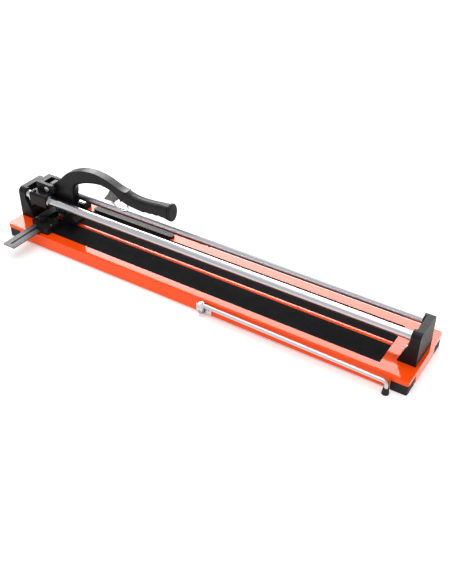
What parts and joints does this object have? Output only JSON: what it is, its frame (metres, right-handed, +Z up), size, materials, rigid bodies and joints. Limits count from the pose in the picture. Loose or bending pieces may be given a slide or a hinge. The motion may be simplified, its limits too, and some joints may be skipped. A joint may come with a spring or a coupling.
{
  "type": "tile cutter",
  "caption": "Manual rail tile cutter: padded tray with a breaking bar, twin rails on end stands, and a sliding carriage with a lifting arched handle, scoring wheel and breaking foot.",
  "frame": {"origin": "on the floor, at the middle of the object's footprint from the ruler's tip to the rear support arm", "axes": "+X along the rails towards the end away from the parked carriage, +Y from the operator's front edge to the back, +Z up"},
  "size_m": [1.2, 0.3216, 0.2303],
  "materials": {
    "orange_paint": "glossy orange powder coat",
    "pad_foam": "matte black closed-cell foam rubber",
    "black_rubber": "matte black moulded rubber",
    "zinc_steel": "bright zinc plate",
    "black_steel": "black oxide",
    "black_casting": "satin black painted casting",
    "arm_paint": "satin charcoal painted casting",
    "rail_chrome": "polished hard chrome",
    "black_plastic": "satin black moulded plastic",
    "grip_rubber": "charcoal ribbed plastic",
    "ruler_steel": "brushed steel with dark graduations",
    "bearing_brass": "plain bronze",
    "zinc_casting": "bare die casting",
    "wheel_carbide": "coated carbide"
  },
  "bodies": {
    "frame": {"base_tray": "orange_paint", "tray_braces": "orange_paint", "front_pad": "pad_foam", "rear_pad": "pad_foam", "breaking_bar": "orange_paint", "foot_front_left": "black_rubber", "foot_front_right": "black_rubber", "foot_rear_left": "black_rubber", "foot_rear_right": "black_rubber", "foot_screws": "zinc_steel", "left_stand": "black_casting", "right_stand": "black_casting", "stand_bolts": "zinc_steel", "front_rail": "rail_chrome", "rear_rail": "rail_chrome", "rail_screws": "zinc_steel", "rear_ledge": "black_plastic", "ledge_screws": "black_steel", "fence_body": "black_plastic", "fence_screws": "zinc_steel", "ruler_nut": "zinc_steel", "front_arm_bracket": "zinc_steel", "front_arm_pin": "zinc_steel", "rear_arm_bracket": "zinc_steel", "rear_arm_pin": "zinc_steel"},
    "carriage": {"carriage_body": "black_casting", "front_bearing": "bearing_brass", "rear_bearing": "bearing_brass", "front_seal_rings": "zinc_steel", "rear_seal_rings": "zinc_steel", "bearing_screws": "black_steel", "pivot_pin": "zinc_steel", "pivot_nut": "zinc_steel", "pivot_washers": "zinc_steel"},
    "handle": {"handle_arm": "arm_paint", "handle_grip": "grip_rubber", "grip_end_cap": "grip_rubber", "grip_screw": "black_steel", "lock_lug": "zinc_casting", "lock_pin": "zinc_steel", "wheel_holder": "zinc_steel", "holder_screw": "zinc_steel", "wheel_axle": "zinc_steel", "foot_pivot_pin": "zinc_steel"},
    "wheel": {"cutting_wheel": "wheel_carbide"},
    "breaker": {"breaking_foot": "black_plastic", "presser_pads": "black_rubber"},
    "lock_bail": {"lock_ring": "rail_chrome"},
    "ruler_slider": {"ruler": "ruler_steel"},
    "clamp_knob": {"ruler_knob": "black_plastic"},
    "front_support": {"front_arm": "rail_chrome", "front_arm_cap": "black_rubber"},
    "rear_support": {"rear_arm": "rail_chrome", "rear_arm_cap": "black_rubber"}
  },
  "joints": [
    {"name": "carriage_slide", "type": "slide", "parent": "frame", "child": "carriage", "axis": [1, 0, 0], "range_m": [0, 0.94]},
    {"name": "handle_lift", "type": "hinge", "parent": "carriage", "child": "handle", "pos_m": [-0.505, 0.03369, 0.141], "axis": [0, -1, 0], "range_deg": [0, 55]},
    {"name": "wheel_spin", "type": "hinge", "parent": "handle", "child": "wheel", "pos_m": [-0.49, 0.03369, 0.054], "axis": [0, 1, 0], "continuous": true},
    {"name": "breaker_rock", "type": "hinge", "parent": "handle", "child": "breaker", "pos_m": [-0.442, 0.03369, 0.084], "axis": [0, 1, 0], "range_deg": [-8, 8]},
    {"name": "lock_swing", "type": "hinge", "parent": "handle", "child": "lock_bail", "pos_m": [-0.278, 0.03369, 0.166], "axis": [0, 1, 0], "range_deg": [-20, 35]},
    {"name": "ruler_slide", "type": "slide", "parent": "frame", "child": "ruler_slider", "axis": [0, 1, 0], "range_m": [-0.03, 0.004]},
    {"name": "knob_turn", "type": "hinge", "parent": "frame", "child": "clamp_knob", "pos_m": [-0.504, -0.02681, 0.058], "axis": [0, 0, 1], "range_deg": [0, 360]},
    {"name": "front_arm_swing", "type": "hinge", "parent": "frame", "child": "front_support", "pos_m": [0.064, -0.07781, 0.0343], "axis": [0, 0, -1], "range_deg": [0, 90]},
    {"name": "rear_arm_swing", "type": "hinge", "parent": "frame", "child": "rear_support", "pos_m": [-0.064, 0.14519, 0.0343], "axis": [0, 0, -1], "range_deg": [0, 90]}
  ]
}
